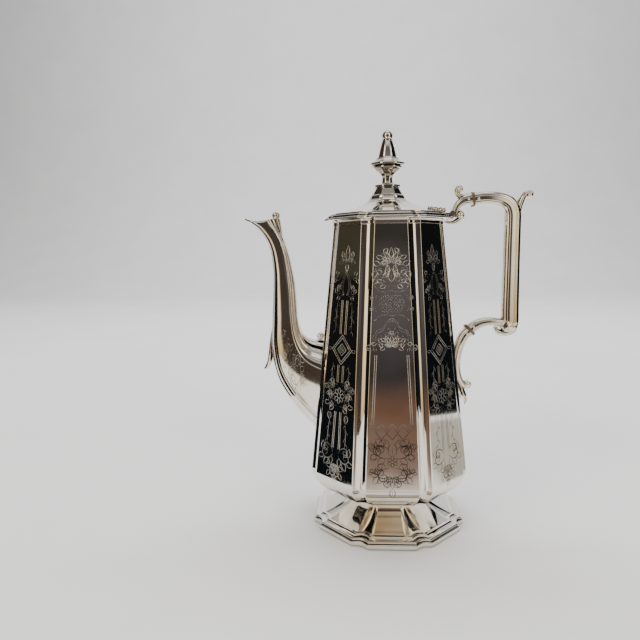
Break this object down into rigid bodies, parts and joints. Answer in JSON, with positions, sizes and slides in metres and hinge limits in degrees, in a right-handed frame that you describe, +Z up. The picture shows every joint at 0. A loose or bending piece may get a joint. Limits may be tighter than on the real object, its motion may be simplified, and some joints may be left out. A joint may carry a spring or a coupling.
{
  "type": "coffee pot",
  "caption": "Tall octagonal silver coffee pot with fluted corners, engraved panels, swan-neck spout, hinged lid with finial and a scroll handle with insulating discs.",
  "frame": {"origin": "centre of the foot's rest face, on the pot's upright axis", "axes": "+Z up, -X along the spout, +X along the handle, +Y across the pot"},
  "size_m": [0.2104, 0.1136, 0.29],
  "materials": {
    "silver": "polished silver with light tarnish in the recesses",
    "ivory": "aged ivory-coloured insulating material"
  },
  "bodies": {
    "pot": {"body_shell": "silver", "neck_ring": "silver", "foot": "silver", "foot_border": "silver", "rim_border": "silver", "spout": "silver", "spout_leaf": "silver", "spout_scroll": "silver", "spout_collar": "silver", "handle_upper_socket": "silver", "thumb_scroll": "silver", "upper_insulator": "ivory", "upper_insulator_pins": "silver", "handle_grip": "silver", "spur_scroll": "silver", "handle_volute": "silver", "handle_lower_arm": "silver", "lower_insulator": "ivory", "lower_insulator_pins": "silver", "handle_lower_socket": "silver", "lower_tail_leaf": "silver", "hinge_pin": "silver", "body_hinge_knuckles": "silver"},
    "lid": {"lid": "silver", "lid_border": "silver", "lid_bezel": "silver", "lid_cap": "silver", "finial_lower": "silver", "finial_upper": "silver", "finial_stud": "silver", "finial_washer": "silver", "finial_nut": "silver", "lid_hinge_knuckle": "silver"}
  },
  "joints": [
    {"name": "lid_hinge", "type": "hinge", "parent": "pot", "child": "lid", "pos_m": [0.0452, 0, 0.2296], "axis": [0, 1, 0], "range_deg": [0, 80]}
  ]
}
